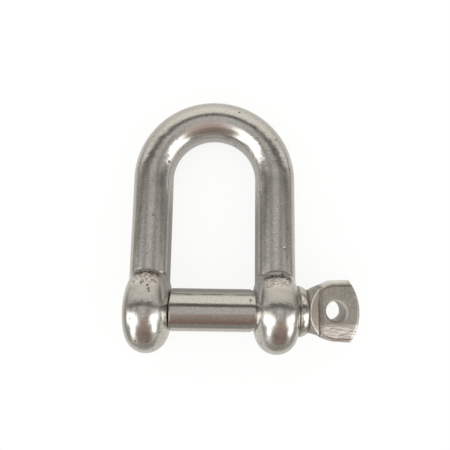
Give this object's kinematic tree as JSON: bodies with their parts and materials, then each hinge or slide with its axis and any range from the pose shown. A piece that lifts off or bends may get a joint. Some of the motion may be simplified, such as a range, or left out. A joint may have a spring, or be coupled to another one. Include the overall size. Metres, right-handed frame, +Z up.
{
  "type": "d shackle",
  "caption": "Forged stainless D shackle: a bent round bar with two eyes, closed by a threaded pin with a collar and a flat drilled head.",
  "frame": {"origin": "on the pin's axis, midway between the two eyes", "axes": "+X along the pin towards its flat head, +Y from the pin towards the crown, +Z up. The shackle lies on its eyes and crown, so its plane leans down 6 degrees towards the crown."},
  "size_m": [0.0549, 0.0614, 0.02],
  "materials": {
    "polished_steel": "polished stainless, with forging pits",
    "pin_steel": "polished shank, satin brushed head"
  },
  "bodies": {
    "shackle": {"shackle_body": "polished_steel"},
    "collar": {"pin_collar": "polished_steel"},
    "pin": {"screw_pin": "pin_steel"}
  },
  "joints": [
    {"name": "pin_travel", "type": "slide", "parent": "shackle", "child": "collar", "axis": [1, 0, 0], "range_m": [0, 0.045]},
    {"name": "pin_turn", "type": "hinge", "parent": "collar", "child": "pin", "pos_m": [0, 0, 0], "axis": [1, 0, 0], "range_deg": [0, 10800]}
  ],
  "couplings": [
    {"joint": "pin_turn", "follows": "pin_travel", "rad_per_m": 4188.8}
  ]
}
